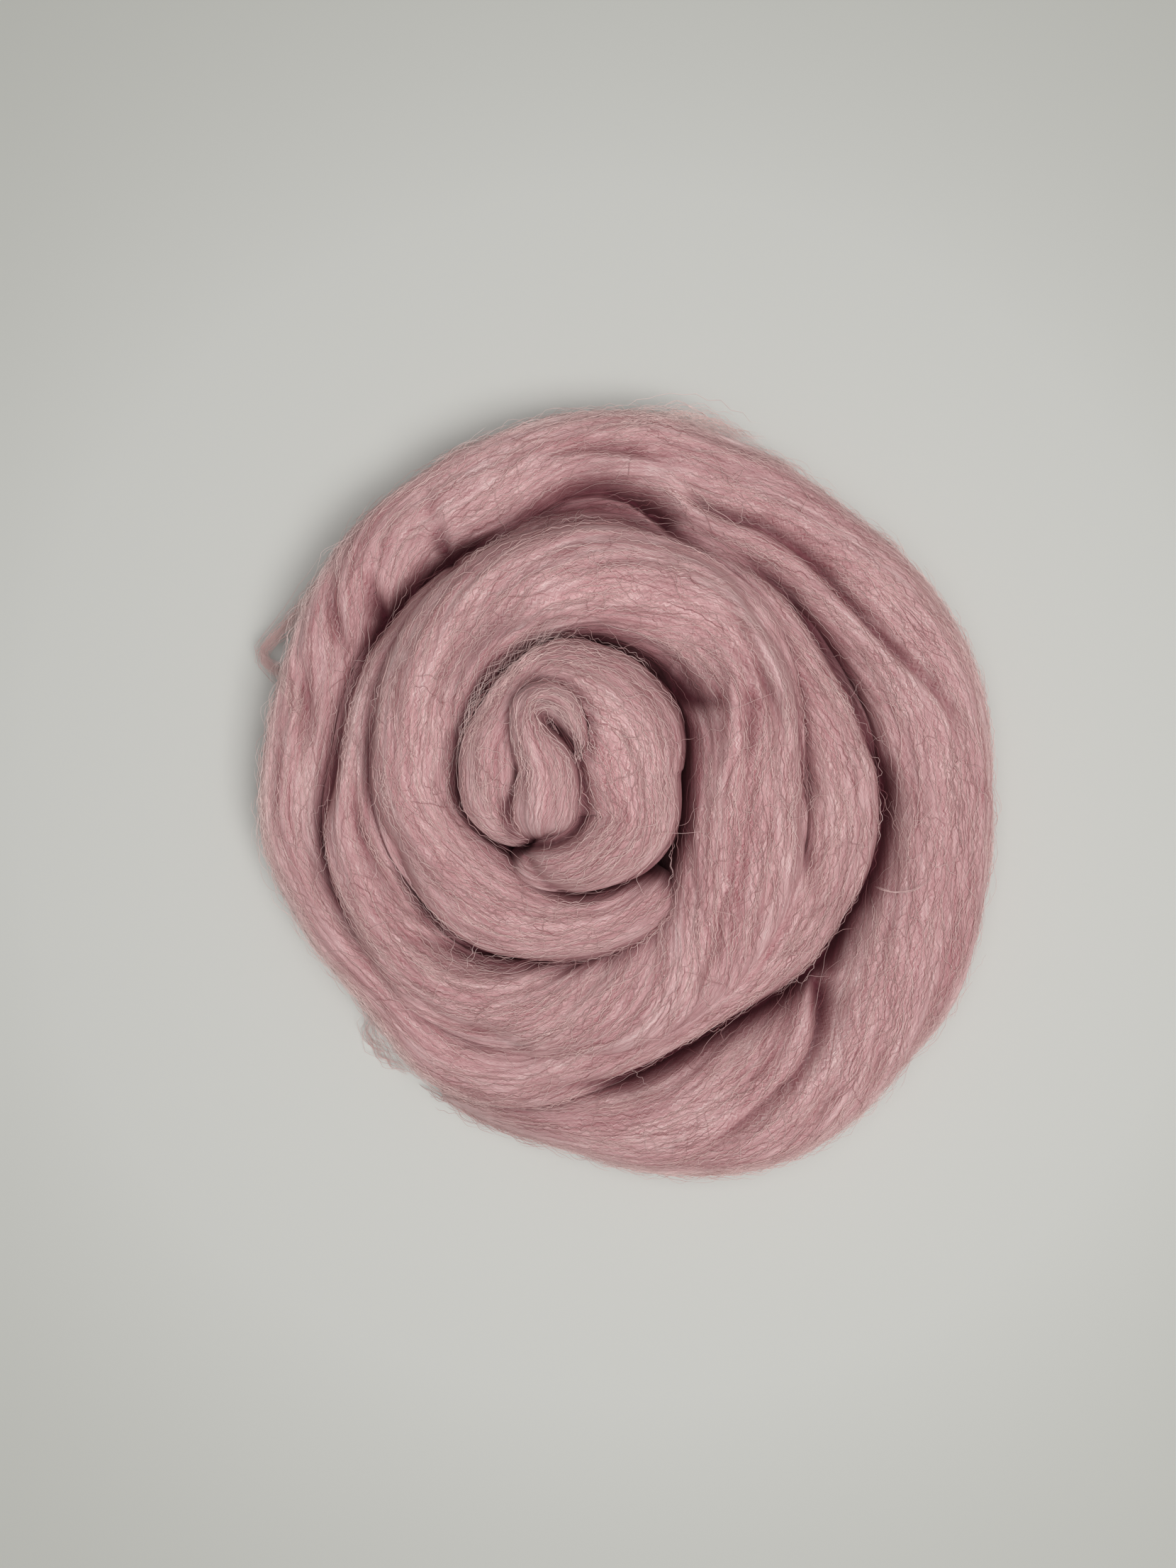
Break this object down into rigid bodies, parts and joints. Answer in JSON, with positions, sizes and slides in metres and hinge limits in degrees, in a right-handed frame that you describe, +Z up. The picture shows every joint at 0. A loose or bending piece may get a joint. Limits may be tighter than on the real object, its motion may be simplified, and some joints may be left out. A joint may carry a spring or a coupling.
{
  "type": "wool roving coil",
  "caption": "Soft coil of combed wool roving, wound inwards from a teased outer end and piled to a low crown, for spinning or felting.",
  "frame": {"origin": "centre of the coil's outline, on the surface it lies on", "axes": "+Z up, through the crown; +Y towards the far side of the coil as seen from above; the strand winds inwards counter-clockwise seen from +Z"},
  "size_m": [0.2187, 0.2289, 0.06],
  "materials": {
    "combed_wool": "matte"
  },
  "bodies": {
    "root": {"roving_coil": "combed_wool"}
  },
  "joints": []
}
